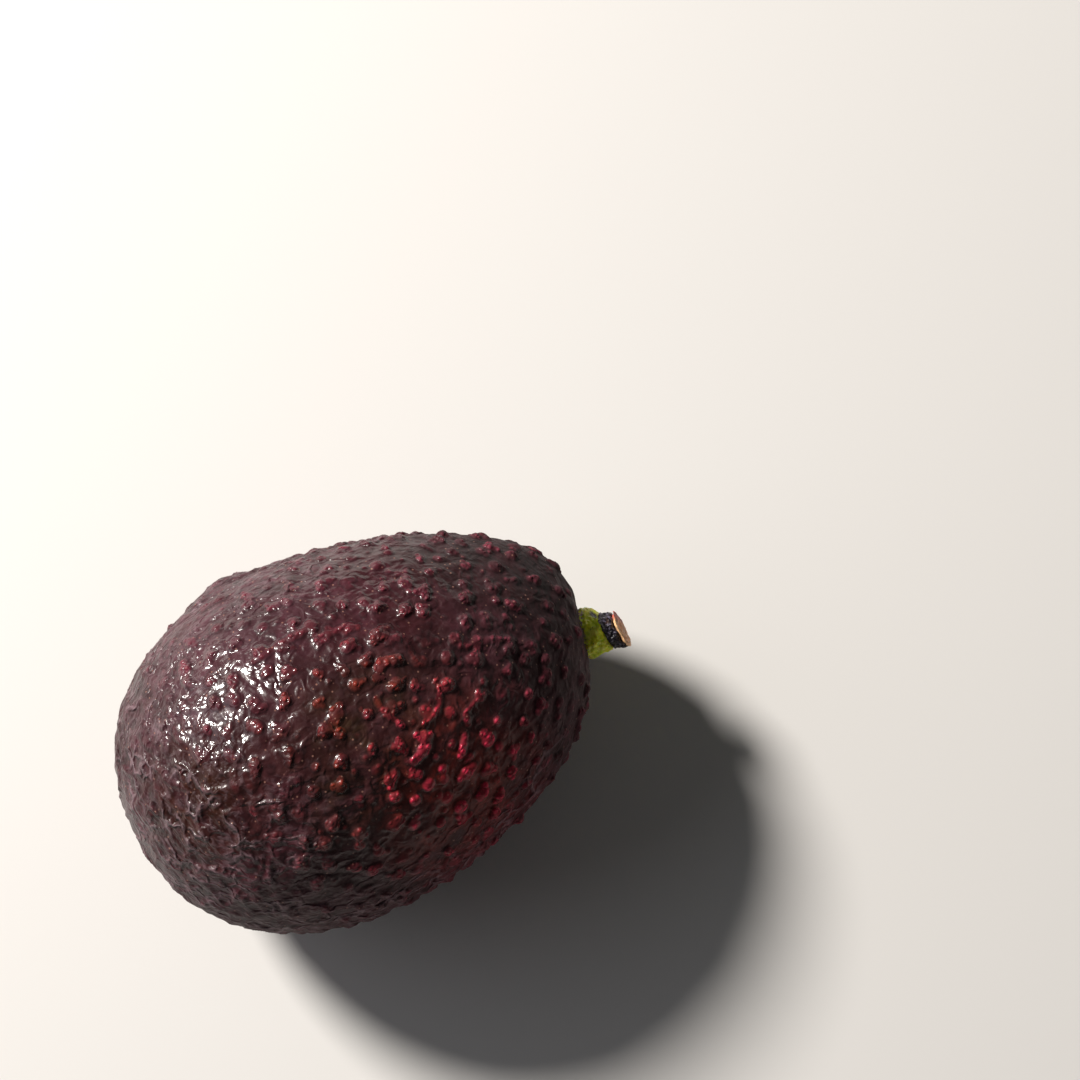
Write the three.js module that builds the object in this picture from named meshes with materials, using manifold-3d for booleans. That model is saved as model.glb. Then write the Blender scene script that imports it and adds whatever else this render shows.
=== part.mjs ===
// A ripe avocado with dark, pebbled skin and the stub of its stem, lying on its side.
// Millimetres, +Z up. The stem end is at +X, and the fruit rests on a small flat spot,
// which has the origin at its middle. Most shapes are first worked out in the fruit's own
// axes: X along the fruit from its middle to the stem end, Y across it and Z up through it.

import * as THREE from 'three';
import { ConvexHull } from 'three/addons/math/ConvexHull.js';
import { mergeVertices } from 'three/addons/utils/BufferGeometryUtils.js';
import Module from 'manifold-3d';

// The body: a blunt egg, narrower at the stem end
const HALF_LENGTH = 47.5;
const HALF_WIDTH = 33.9;
const HEIGHT_SHARE = 0.97; // height over width
const TAPER = 0.15; // how far the widest place moves away from the stem
const END_FULLNESS = 0.05; // how much fuller than an ellipse both ends are

// How the fruit lies: stem end down by the pitch, its middle over the rest spot
const PITCH = THREE.MathUtils.degToRad(7);
const MIDDLE_OVER_SPOT = new THREE.Vector3(2.8, 0, 32.2);

// Broad swellings and hollows that keep the body from being a turned shape:
// the place on the body, how far each spreads and how high it stands
const SWELLINGS = {
  flankHump: { at: [-12, 34.6, 3], spread: 4.2, height: 1.7 },
  stemShoulder: { at: [43, 12, 3], spread: 8, height: 1.4 },
  flatterFlank: { at: [13, 33, 0], spread: 11, height: -0.8 },
  fullerFlank: { at: [25, -27, 0], spread: 12, height: 0.5 },
  stemHollow: { at: [46.2, -5.3, 1.8], spread: 5.5, height: -2.5 },
  blossomDimple: { at: [-47.5, 0, 2], spread: 3.5, height: -1 },
};

// Pebbles: low warts over the whole skin
const PEBBLE_COUNT = 735;
const PEBBLE_RADIUS = 1.7;
const PEBBLE_HEIGHT = 0.95;
const FOOT_SIDES = 5;
const CROWN_SIDES = 3;
const CROWN_SHARE = 0.42; // radius of the flat top over the radius of the foot
const PEBBLE_DRIFT = 1; // furthest a pebble lies off its even place, each way
const LOWEST_PEBBLE = 0.45; // share of full height
const SIZE_SPREAD = 0.18;
const WELT_STRETCH = 0.6; // extra width across, of the pebbles round the blossom end
const WELT_THINNING = 0.2; // and how much shorter they are along the fruit
const WELT_START = -12; // along X, where pebbles begin to spread into welts
const WELT_FULL = -40;
const CALM_AMOUNT = 0.3; // how much height the calmer patches lose
const CALM_WAVE = 75; // length of the waves that calmer patches follow
const CALM_SHIFT = new THREE.Vector3(1, 2, Math.PI / 2); // where in its wave each axis starts

// Bare ring with creases round the stem, and the smooth ground round the rest spot
const BARE_RADIUS = 7.5;
const BARE_FADE = 5;
const CREASE_COUNT = 9;
const CREASE_DEPTH = 0.4;
const CREASE_REACH = 9; // from the middle of the stem to the deepest place of the creases
const CREASE_SPREAD = 3.5;
const REST_RADIUS = 10.5;
const REST_FADE = 4;

// Stem stub: where it leaves the fruit, its heading, and how its cut end is skewed
const STEM_SEAT = new THREE.Vector3(44.8, -5.3, 1.8);
const STEM_YAW = THREE.MathUtils.degToRad(-25);
const STEM_RISE = THREE.MathUtils.degToRad(14);
const SKEW_ACROSS = -0.3;
const SKEW_UP = -0.2;
const GAP = 0.3; // clear space between neighbours
const SEAT_DEPTH = 1.1;
const SEAT_REACH = 8; // how far the seat's cutter reaches out past the skin
const BUTTON_RADIUS = 4.9;
const BUTTON_NECK = 3.7;
const BUTTON_LENGTH = 4.6;
const BARK_LENGTH = 2;
const BARK_RADIUS = 3.65;
const WOOD_LENGTH = 1.2;
const WOOD_RADIUS = 3.5;
const WOOD_RING_HEIGHT = 0.16;
const STEM_SIDES = 24;

// Looks
const LOOKS = {
  fruit: { color: '#3a2225', roughness: 0.38, metalness: 0 },
  stem_button: { color: '#8d9020', roughness: 0.6, metalness: 0 },
  stem_bark: { color: '#332a2b', roughness: 0.7, metalness: 0 },
  stem_wood: { color: '#b27f52', roughness: 0.8, metalness: 0 },
};

const GOLDEN_ANGLE = Math.PI * (3 - Math.sqrt(5));
const AREA_STEPS = 2000;
const SLOPE_STEP = 1e-4; // radians to each side, to work out a slope

const wasm = await Module();
wasm.setup();

// A number from 0 to 1 that is fixed for each index and each use
function draw(index, use) {
  const wave = Math.sin(index * 127.1 + use * 311.7) * 43758.5453;
  return wave - Math.floor(wave);
}

function bell(distance, spread) {
  return Math.exp(-(distance * distance) / (2 * spread * spread));
}

// Radius of the egg at angle phi, which is 0 at the stem end and pi at the blossom end
function eggRadius(phi) {
  const c = Math.cos(phi);
  return HALF_WIDTH * Math.sin(phi) * (1 - TAPER * c + END_FULLNESS * c * c);
}

// Length of the egg's outline for each radian of phi
function outlineSlope(phi) {
  const rise = eggRadius(phi + SLOPE_STEP) - eggRadius(phi - SLOPE_STEP);
  return Math.hypot(HALF_LENGTH * Math.sin(phi), rise / (2 * SLOPE_STEP));
}

// A point of the plain egg: theta runs round the fruit, from +Y up to +Z
function eggPoint({ phi, theta }) {
  const radius = eggRadius(phi);
  const z = radius * Math.sin(theta) * HEIGHT_SHARE;
  return new THREE.Vector3(HALF_LENGTH * Math.cos(phi), radius * Math.cos(theta), z);
}

// The plain egg's outward direction, from its slopes along and round the fruit
function eggNormal({ phi, theta }) {
  const before = eggPoint({ phi: phi - SLOPE_STEP, theta });
  const along = eggPoint({ phi: phi + SLOPE_STEP, theta }).sub(before);
  const round = new THREE.Vector3(0, -Math.sin(theta), HEIGHT_SHARE * Math.cos(theta));
  return along.cross(round).normalize();
}

// Height of the broad swellings at a point of the egg
function swelling(point) {
  return Object.values(SWELLINGS).reduce((sum, { at, spread, height }) => {
    const distance = point.distanceTo(new THREE.Vector3(...at));
    return sum + height * bell(distance, spread);
  }, 0);
}

// Shallow creases that run out from the stem
function crease(point) {
  const offset = point.clone().sub(STEM_SEAT);
  const fade = bell(offset.length() - CREASE_REACH, CREASE_SPREAD);
  const turn = Math.atan2(offset.z, offset.y);
  return -CREASE_DEPTH * fade * (0.5 + 0.5 * Math.cos(CREASE_COUNT * turn));
}

// Share of full height that pebbles have at a point: none at the stem and at the rest spot
function pebbleShare(point) {
  const fromStem = point.distanceTo(STEM_SEAT) - BARE_RADIUS;
  const fromRest = point.distanceTo(restPoint) - REST_RADIUS;
  const bare = THREE.MathUtils.smoothstep(fromStem, 0, BARE_FADE);
  const rest = THREE.MathUtils.smoothstep(fromRest, 0, REST_FADE);
  const turn = point.clone().multiplyScalar((2 * Math.PI) / CALM_WAVE).add(CALM_SHIFT);
  const wave = Math.sin(turn.x) * Math.sin(turn.y) * Math.sin(turn.z);
  return bare * rest * (1 - CALM_AMOUNT * (0.5 + 0.5 * wave));
}

// Angles phi that share the egg's surface out evenly, one for each pebble
function evenAngles(count) {
  const sums = [0];
  for (let i = 0; i < AREA_STEPS; i += 1) {
    const phi = ((i + 0.5) / AREA_STEPS) * Math.PI;
    sums.push(sums[i] + eggRadius(phi) * outlineSlope(phi));
  }
  const total = sums[AREA_STEPS];
  let at = 0;
  return Array.from({ length: count }, (_, i) => {
    const wanted = ((i + 0.5) / count) * total;
    while (sums[at + 1] < wanted) at += 1;
    const share = (wanted - sums[at]) / (sums[at + 1] - sums[at]);
    return ((at + share) / AREA_STEPS) * Math.PI;
  });
}

// Moves a place on the egg by millimetres along and round the fruit
function shifted({ phi, theta }, along, round) {
  const radius = Math.max(eggRadius(phi), PEBBLE_RADIUS);
  return { phi: phi + along / outlineSlope(phi), theta: theta + round / radius };
}

// A ring of places round a middle, wider across than along by the welt, at one height
function ring(middle, { sides, radius, turn, welt, lift }) {
  return Array.from({ length: sides }, (_, side) => {
    const angle = turn + (side / sides) * 2 * Math.PI;
    const along = radius * Math.cos(angle) * (1 - WELT_THINNING * welt);
    const round = radius * Math.sin(angle) * (1 + WELT_STRETCH * welt);
    return { ...shifted(middle, along, round), lift };
  });
}

// One pebble: the ring of its flat top and the ring at its foot, each place with a height
function pebble(phi, index) {
  const drift = (use) => (2 * draw(index, use) - 1) * PEBBLE_DRIFT;
  const middle = shifted({ phi, theta: index * GOLDEN_ANGLE }, drift(1), drift(2));
  const point = eggPoint(middle);
  const radius = PEBBLE_RADIUS * THREE.MathUtils.lerp(1 - SIZE_SPREAD, 1 + SIZE_SPREAD, draw(index, 3));
  const height = PEBBLE_HEIGHT * THREE.MathUtils.lerp(LOWEST_PEBBLE, 1, draw(index, 4));
  const welt = THREE.MathUtils.smoothstep(-point.x, -WELT_START, -WELT_FULL);
  const turn = draw(index, 5) * 2 * Math.PI;
  const lift = height * pebbleShare(point);
  return [
    ...ring(middle, { sides: CROWN_SIDES, radius: radius * CROWN_SHARE, turn, welt, lift }),
    ...ring(middle, { sides: FOOT_SIDES, radius, turn, welt, lift: 0 }),
  ];
}

// A unit direction for each place, so that the places can be joined into one round net
function direction({ phi, theta }) {
  const reach = Math.sin(phi);
  return new THREE.Vector3(Math.cos(phi), reach * Math.cos(theta), reach * Math.sin(theta));
}

// Triangles that join the places into a closed surface, as a hull round a ball
function netOf(places) {
  const directions = places.map(direction);
  const order = new Map(directions.map((point, i) => [point, i]));
  const hull = new ConvexHull().setFromPoints(directions);
  return hull.faces.flatMap((face) => {
    const first = face.edge;
    return [first, first.next, first.next.next].map((edge) => order.get(edge.head().point));
  });
}

// The skin at a place: the egg, its swellings, the creases and the pebble's own height
function skinPoint(place) {
  const point = eggPoint(place);
  const lift = place.lift + swelling(point) + crease(point);
  return point.addScaledVector(eggNormal(place), lift);
}

function bodyGeometry() {
  const places = evenAngles(PEBBLE_COUNT).flatMap(pebble);
  const geometry = new THREE.BufferGeometry().setFromPoints(places.map(skinPoint));
  geometry.setIndex(netOf(places));
  return geometry;
}

// Keeps only positions, with shared vertices merged, as a solid needs
function welded(geometry) {
  geometry.deleteAttribute('normal');
  geometry.deleteAttribute('uv');
  return mergeVertices(geometry, 1e-4);
}

function solidOf(geometry) {
  const merged = welded(geometry.clone());
  return new wasm.Manifold(new wasm.Mesh({
    numProp: 3,
    vertProperties: new Float32Array(merged.attributes.position.array),
    triVerts: new Uint32Array(merged.index.array),
  }));
}

function geometryOf(solid) {
  const mesh = solid.getMesh();
  const geometry = new THREE.BufferGeometry();
  geometry.setAttribute('position', new THREE.BufferAttribute(mesh.vertProperties, 3));
  geometry.setIndex(new THREE.BufferAttribute(mesh.triVerts, 1));
  geometry.computeVertexNormals();
  return geometry;
}

function named(name, geometry) {
  const mesh = new THREE.Mesh(geometry, new THREE.MeshStandardMaterial(LOOKS[name]));
  mesh.name = name;
  return mesh;
}

// A turned solid standing along +Z, with each vertex then moved by reshape
function turned(profile, reshape) {
  const outline = profile.map(([radius, height]) => new THREE.Vector2(radius, height));
  const geometry = welded(new THREE.LatheGeometry(outline, STEM_SIDES).rotateX(Math.PI / 2));
  const position = geometry.attributes.position;
  const vertex = new THREE.Vector3();
  for (let i = 0; i < position.count; i += 1) {
    reshape(vertex.fromBufferAttribute(position, i));
    position.setXYZ(i, vertex.x, vertex.y, vertex.z);
  }
  geometry.computeVertexNormals();
  return geometry;
}

// Scales a vertex about the stem's axis
function swell(vertex, amount) {
  vertex.x *= 1 + amount;
  vertex.y *= 1 + amount;
}

// Leans the stem's cross-sections over, fully from the button's end on
function skew(vertex) {
  const share = THREE.MathUtils.clamp(vertex.z / BUTTON_LENGTH, 0, 1);
  vertex.z += share * (SKEW_ACROSS * vertex.x + SKEW_UP * vertex.y);
}

// The swollen green button, let into the fruit by the seat's depth
function buttonGeometry() {
  const foot = -SEAT_DEPTH;
  const profile = [
    [0, foot], [BUTTON_RADIUS - 0.5, foot], [BUTTON_RADIUS, foot + 0.5], [BUTTON_RADIUS, 0.6],
    [BUTTON_RADIUS - 0.15, 1.6], [4.45, 2.6], [4.05, 3.6], [BUTTON_NECK, 4.3],
    [BUTTON_NECK - 0.4, BUTTON_LENGTH], [0, BUTTON_LENGTH],
  ];
  return turned(profile, (vertex) => {
    const turn = Math.atan2(vertex.y, vertex.x);
    const free = THREE.MathUtils.smoothstep(vertex.z, 0.6, 2);
    const wave = Math.sin(3 * turn + 1) * 0.05 + Math.sin(7 * turn + 2 * vertex.z) * 0.04;
    swell(vertex, free * wave);
    skew(vertex);
  });
}

// The dark, shrivelled collar of bark round the end of the button
function barkGeometry() {
  const foot = BUTTON_LENGTH + GAP;
  const top = foot + BARK_LENGTH;
  const profile = [
    [0, foot], [BARK_RADIUS - 0.45, foot], [BARK_RADIUS, foot + 0.45],
    [BARK_RADIUS - 0.35, foot + 0.95], [BARK_RADIUS - 0.1, top - 0.45],
    [BARK_RADIUS - 0.5, top], [0, top],
  ];
  return turned(profile, (vertex) => {
    const turn = Math.atan2(vertex.y, vertex.x);
    swell(vertex, 0.05 * Math.sin(2 * turn) + 0.05 * Math.sin(8 * turn + vertex.z));
    skew(vertex);
  });
}

// The flared end of cut wood, with rings in its face
function woodGeometry() {
  const foot = BUTTON_LENGTH + BARK_LENGTH + 2 * GAP;
  const top = foot + WOOD_LENGTH;
  const profile = [[0, foot], [WOOD_RADIUS - 0.5, foot], [WOOD_RADIUS, top - 0.4]];
  for (let ring = 8; ring > 0; ring -= 1) {
    const crest = ring % 2 === 0 ? 0 : -WOOD_RING_HEIGHT;
    profile.push([(ring / 8) * (WOOD_RADIUS - 0.15), top + crest]);
  }
  profile.push([0, top]);
  return turned(profile, (vertex) => {
    const turn = Math.atan2(vertex.y, vertex.x);
    swell(vertex, 0.05 * Math.sin(2 * turn + 0.6) + 0.03 * Math.sin(5 * turn));
    skew(vertex);
  });
}

// The cutter that leaves a round seat for the button in the fruit
function seatCutter() {
  const radius = BUTTON_RADIUS + GAP;
  const length = SEAT_DEPTH + GAP + SEAT_REACH;
  const cutter = new THREE.CylinderGeometry(radius, radius, length, STEM_SIDES);
  return cutter.rotateX(Math.PI / 2).translate(0, 0, SEAT_REACH - length / 2);
}

// Everything under the surface that the fruit rests on
function groundCutter() {
  const side = 4 * HALF_WIDTH;
  return new THREE.BoxGeometry(side, side, side).translate(0, 0, -side / 2);
}

// The fruit's own axes, laid down over the rest spot
const lying = new THREE.Group();
lying.rotation.y = PITCH;
lying.position.copy(MIDDLE_OVER_SPOT);
lying.updateMatrixWorld();
const restPoint = lying.worldToLocal(new THREE.Vector3(0, 0, 0));

// The stem's axes: X across, Y up and Z out along the stem
const stem = new THREE.Group();
const heading = new THREE.Vector3(
  Math.cos(STEM_RISE) * Math.cos(STEM_YAW),
  Math.cos(STEM_RISE) * Math.sin(STEM_YAW),
  Math.sin(STEM_RISE),
);
const across = new THREE.Vector3(-heading.y, heading.x, 0).normalize();
const upward = heading.clone().cross(across);
stem.quaternion.setFromRotationMatrix(new THREE.Matrix4().makeBasis(across, upward, heading));
stem.position.copy(STEM_SEAT);
lying.add(stem);
stem.updateWorldMatrix(true, false);

function fruitGeometry() {
  const body = solidOf(bodyGeometry().applyMatrix4(lying.matrixWorld));
  const seat = solidOf(seatCutter().applyMatrix4(stem.matrixWorld));
  return geometryOf(body.subtract(seat).subtract(solidOf(groundCutter())));
}

stem.add(
  named('stem_button', buttonGeometry()),
  named('stem_bark', barkGeometry()),
  named('stem_wood', woodGeometry()),
);

const avocado = new THREE.Group();
avocado.add(named('fruit', fruitGeometry()), lying);

export default avocado;
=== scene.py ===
"""A ripe avocado with dark, pebbled skin and the short stub of its stem, lying on its side.

The body is a blunt egg with a few broad swellings. Its skin carries warts (pebbles), chains
of small beads and a net of low ridges. The stub is a green button, a shrivelled collar of
bark and a flared end of cut wood. Lengths are in metres, +Z is up and +X is the stem end.
"""

import logging
import math
from contextlib import contextmanager
from dataclasses import dataclass, field
from enum import Enum
from typing import Iterator, Sequence

import bpy
import numpy as np
from mathutils import Matrix, Vector, kdtree, noise


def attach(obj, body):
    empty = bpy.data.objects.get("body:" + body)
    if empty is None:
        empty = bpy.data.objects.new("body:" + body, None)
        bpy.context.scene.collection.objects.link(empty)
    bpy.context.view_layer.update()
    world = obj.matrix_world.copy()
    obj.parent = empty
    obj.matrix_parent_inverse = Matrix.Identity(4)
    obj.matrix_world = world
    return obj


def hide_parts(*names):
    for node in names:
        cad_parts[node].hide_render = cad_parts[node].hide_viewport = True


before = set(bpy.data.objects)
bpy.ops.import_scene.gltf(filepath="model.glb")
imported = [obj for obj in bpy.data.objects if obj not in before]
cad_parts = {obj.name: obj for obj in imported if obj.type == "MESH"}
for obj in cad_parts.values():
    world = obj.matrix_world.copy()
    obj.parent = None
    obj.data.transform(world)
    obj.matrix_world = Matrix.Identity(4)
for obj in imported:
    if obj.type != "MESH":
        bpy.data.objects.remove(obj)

MM = 0.001
GOLDEN_ANGLE = math.pi * (3 - math.sqrt(5))
ROOT = "root"
OUTLINE_STEPS = 2000
log = logging.getLogger("avocado")

Array = np.ndarray
Colour = tuple[float, float, float, float]


class CellMeasure(Enum):
    """What a cell pattern tells about a place."""

    FROM_MIDDLE = "F1"
    FROM_EDGE = "DISTANCE_TO_EDGE"


def draw(index: int, use: int) -> float:
    """Give a number from 0 to 1 that is fixed for each index and each use of it."""
    wave = math.sin(index * 127.1 + use * 311.7) * 43758.5453
    return wave - math.floor(wave)


def blend_in(value: Array, start: float, full: float) -> Array:
    """Rise smoothly from 0 at start to 1 at full, which may lie below start."""
    share = np.clip((value - start) / (full - start), 0.0, 1.0)
    return share * share * (3 - 2 * share)


def bell(distance: Array, spread: float) -> Array:
    """Give a bell curve of height 1 with the given spread."""
    return np.exp(-(distance**2) / (2 * spread**2))


def linear(red: int, green: int, blue: int) -> Colour:
    """Turn a screen colour into a shader colour.

    Args:
        red: Its red part, from 0 to 255.
        green: Its green part.
        blue: Its blue part.

    Returns:
        The linear colour with full alpha.
    """
    parts = [part / 255 for part in (red, green, blue)]
    values = [p / 12.92 if p <= 0.04045 else ((p + 0.055) / 1.055) ** 2.4 for p in parts]
    return (*values, 1.0)


def deselect_everything() -> None:
    """Leave no object selected and none active."""
    bpy.ops.object.select_all(action="DESELECT")
    bpy.context.view_layer.objects.active = None


def pick(piece: bpy.types.Object) -> None:
    """Select one piece alone and make it active.

    Args:
        piece: The piece.
    """
    deselect_everything()
    piece.select_set(True)
    bpy.context.view_layer.objects.active = piece


@contextmanager
def edit_mode(piece: bpy.types.Object) -> Iterator[None]:
    """Work on a piece's mesh in edit mode, with everything in it selected.

    Args:
        piece: The mesh object to work on.

    Yields:
        Nothing; edit mode ends with the block.
    """
    pick(piece)
    bpy.ops.object.mode_set(mode="EDIT")
    bpy.ops.mesh.select_all(action="SELECT")
    yield
    bpy.ops.object.mode_set(mode="OBJECT")


def coordinates(piece: bpy.types.Object) -> Array:
    """Read a mesh's vertices.

    Args:
        piece: The mesh object.

    Returns:
        One row for each vertex.
    """
    values = np.zeros(len(piece.data.vertices) * 3)
    piece.data.vertices.foreach_get("co", values)
    return values.reshape(-1, 3)


def move_vertices(piece: bpy.types.Object, places: Array) -> None:
    """Put a mesh's vertices at new places, given as one row for each."""
    piece.data.vertices.foreach_set("co", places.astype(np.float32).ravel())
    piece.data.update()


def paint(piece: bpy.types.Object, name: str, values: Array) -> None:
    """Store one number for each vertex under a name, for the finish to read."""
    layer = piece.data.attributes.new(name, "FLOAT", "POINT")
    layer.data.foreach_set("value", values.astype(np.float32))


def apply_modifier(piece: bpy.types.Object, modifier: bpy.types.Modifier) -> None:
    """Apply one modifier to its piece."""
    pick(piece)
    bpy.ops.object.modifier_apply(modifier=modifier.name)


def raise_relief(piece: bpy.types.Object, name: str, heights: Array) -> None:
    """Move vertices along their normals with a Displace modifier that is then applied.

    Args:
        piece: The mesh object.
        name: A name for the vertex group that holds the heights.
        heights: The height at each vertex, in metres, zero or more.
    """
    tallest = float(heights.max())
    group = piece.vertex_groups.new(name=name)
    for index in np.nonzero(heights > tallest * 1e-3)[0]:
        group.add([int(index)], float(heights[index] / tallest), "REPLACE")
    lift = piece.modifiers.new(name, "DISPLACE")
    lift.direction = "NORMAL"
    lift.mid_level = 0.0
    lift.strength = tallest
    lift.vertex_group = group.name
    apply_modifier(piece, lift)
    piece.vertex_groups.remove(piece.vertex_groups[name])


def roughen(piece: bpy.types.Object, clouds: Sequence[tuple[float, float]]) -> None:
    """Shake a mesh with Blender's own cloud pattern, once for each row.

    Args:
        piece: The mesh object.
        clouds: The pattern's grain and the furthest a vertex moves, in metres.
    """
    for size, strength in clouds:
        pattern = bpy.data.textures.new(f"{piece.name}_clouds", "CLOUDS")
        pattern.noise_scale = size
        shake = piece.modifiers.new(pattern.name, "DISPLACE")
        shake.texture = pattern
        shake.texture_coords = "LOCAL"
        shake.mid_level = 0.5
        shake.strength = strength
        apply_modifier(piece, shake)


def smooth_over(piece: bpy.types.Object, levels: int) -> None:
    """Round a coarse cage off.

    Args:
        piece: The mesh object.
        levels: How many times each face is split.
    """
    rounding = piece.modifiers.new("rounding", "SUBSURF")
    rounding.levels = rounding.render_levels = levels
    apply_modifier(piece, rounding)


def dress(piece: bpy.types.Object, material: bpy.types.Material, node: str) -> None:
    """Give a finished piece its material and tie it to the frame.

    Args:
        piece: The piece, which lies where it belongs.
        material: Its finish.
        node: The solid it stands for.
    """
    pick(piece)
    bpy.ops.object.shade_smooth()
    piece.data.materials.append(material)
    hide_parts(node)
    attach(piece, ROOT)


def place_by(piece: bpy.types.Object, matrix: Matrix) -> None:
    """Move a piece and leave the move in its mesh.

    Args:
        piece: The piece.
        matrix: The move.
    """
    pick(piece)
    piece.matrix_world = matrix
    bpy.ops.object.transform_apply(location=True, rotation=True, scale=True)


@dataclass(frozen=True)
class Swelling:
    """A broad rise or hollow of the body: where it is, how far it spreads and its height."""

    at: tuple[float, float, float]
    spread: float
    height: float

    def heights(self, points: Array) -> Array:
        """Give the swelling's height at each point, in metres."""
        distance = np.linalg.norm(points - np.array(self.at) * MM, axis=1)
        return self.height * MM * bell(distance, self.spread * MM)


@dataclass(frozen=True)
class BodyForm:
    """The fruit's plain body, an egg whose X runs to the stem end, and how it lies."""

    half_length: float = 47.5 * MM
    half_width: float = 33.9 * MM
    height_share: float = 0.97
    taper: float = 0.15
    end_fullness: float = 0.05
    pitch: float = math.radians(7)
    middle: tuple[float, float, float] = (2.8 * MM, 0.0, 32.2 * MM)
    stem_seat: tuple[float, float, float] = (44.8 * MM, -5.3 * MM, 1.8 * MM)
    bare_radius: float = 7.5 * MM
    bare_fade: float = 5 * MM
    crease_count: int = 9
    crease_depth: float = 0.4 * MM
    crease_reach: float = 9 * MM
    crease_spread: float = 3.5 * MM
    rest_radius: float = 10.5 * MM
    rest_fade: float = 4 * MM
    slope_step: float = 1e-4
    top: tuple[float, float, float] = (-0.22, -0.18, 0.96)
    swellings: tuple[Swelling, ...] = (
        Swelling((-12, 34.6, 3), 4.2, 1.6),
        Swelling((43, 12, 3), 8, 1.4),
        Swelling((13, 33, 0), 11, -0.8),
        Swelling((25, -27, 0), 12, 0.5),
        Swelling((46.2, -5.3, 1.8), 5.5, -2.5),
        Swelling((-47.5, 0, 2), 3.5, -1),
    )

    def lying(self) -> Matrix:
        """Give the matrix that lays the body's own axes down over the rest spot."""
        return Matrix.Translation(self.middle) @ Matrix.Rotation(self.pitch, 4, "Y")

    def rest_point(self) -> Array:
        """Give the middle of the rest spot in the body's own axes."""
        return np.array(self.lying().inverted() @ Vector((0, 0, 0)))

    def radius(self, phi: Array) -> Array:
        """Give the egg's radius at angles phi, from 0 at the stem end to pi."""
        c = np.cos(phi)
        return self.half_width * np.sin(phi) * (1 - self.taper * c + self.end_fullness * c * c)

    def outline_slope(self, phi: Array) -> Array:
        """Work out how fast the egg's outline runs.

        Args:
            phi: Angles from the stem end.

        Returns:
            The length of the outline for each radian of phi.
        """
        step = self.slope_step
        rise = (self.radius(phi + step) - self.radius(phi - step)) / (2 * step)
        return np.hypot(self.half_length * np.sin(phi), rise)

    def points(self, phi: Array, theta: Array) -> Array:
        """Give points of the plain egg.

        Args:
            phi: Angles from the stem end.
            theta: Angles round the fruit, from +Y up to +Z.

        Returns:
            One row for each pair of angles.
        """
        radius = self.radius(phi)
        across = radius * np.cos(theta)
        up = radius * np.sin(theta) * self.height_share
        return np.column_stack((self.half_length * np.cos(phi), across, up))

    def tangents(self, phi: Array, theta: Array) -> tuple[Array, Array, Array]:
        """Give unit directions along the fruit, round it and out of it.

        Args:
            phi: Angles from the stem end.
            theta: Angles round the fruit.

        Returns:
            Three arrays with one row for each pair of angles.
        """
        step = self.slope_step
        along = self.points(phi + step, theta) - self.points(phi - step, theta)
        flat = np.zeros_like(theta)
        around = np.column_stack((flat, -np.sin(theta), self.height_share * np.cos(theta)))
        along /= np.linalg.norm(along, axis=1)[:, None]
        around /= np.linalg.norm(around, axis=1)[:, None]
        out = np.cross(along, around)
        return along, around, out / np.linalg.norm(out, axis=1)[:, None]

    def broad_lift(self, points: Array) -> Array:
        """Add up the swellings and the creases round the stem.

        Args:
            points: Places on the plain egg.

        Returns:
            How far each one is lifted, in metres.
        """
        offset = points - np.array(self.stem_seat)
        distance = np.linalg.norm(offset, axis=1)
        turn = np.arctan2(offset[:, 2], offset[:, 1])
        fade = bell(distance - self.crease_reach, self.crease_spread)
        creases = -self.crease_depth * fade * (0.5 + 0.5 * np.cos(self.crease_count * turn))
        return creases + sum(swelling.heights(points) for swelling in self.swellings)

    def upper(self, points: Array) -> Array:
        """Give 1 on the half that faces up, which leans a little forward, and 0 under it."""
        return blend_in(points @ np.array(self.top), -9 * MM, -1 * MM)

    def calm_rim(self, points: Array) -> Array:
        """Give how smooth the far upper rim is: there the skin has streaks and few warts."""
        far = blend_in(points[:, 1], 15 * MM, 26 * MM) * blend_in(points[:, 0], 18 * MM, 0.0)
        return far * self.upper(points)

    def relief_share(self, points: Array) -> Array:
        """Tell how far relief may rise: not at all by the stem and at the rest spot.

        Args:
            points: Places on the plain egg.

        Returns:
            The share for each one, from 0 to 1.
        """
        from_stem = np.linalg.norm(points - np.array(self.stem_seat), axis=1)
        from_rest = np.linalg.norm(points - self.rest_point(), axis=1)
        bare = blend_in(from_stem - self.bare_radius, 0.0, self.bare_fade)
        rest = blend_in(from_rest - self.rest_radius, 0.0, self.rest_fade)
        return bare * rest


@dataclass(frozen=True)
class Wart:
    """One raised dome: its middle, the two half sizes, its height and how ruddy it is."""

    middle: Array
    along: Array
    around: Array
    half_along: float
    half_around: float
    height: float
    ruddy: float

    def lobe(self, turn: float, offset: float, share: float) -> "Wart":
        """Give a smaller dome that leans on this one.

        Args:
            turn: The direction it leans to, round this dome.
            offset: How far off it stands, as a share of this dome's size.
            share: Its size, as a share of this dome's.

        Returns:
            The smaller dome.
        """
        step = self.along * math.cos(turn) * self.half_along
        step = step + self.around * math.sin(turn) * self.half_around
        size = share * (self.half_along + self.half_around) / 2
        height = self.height * (0.45 + 0.5 * share)
        return Wart(self.middle + step * offset, self.along, self.around, size, size, height,
                    self.ruddy)


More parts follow.
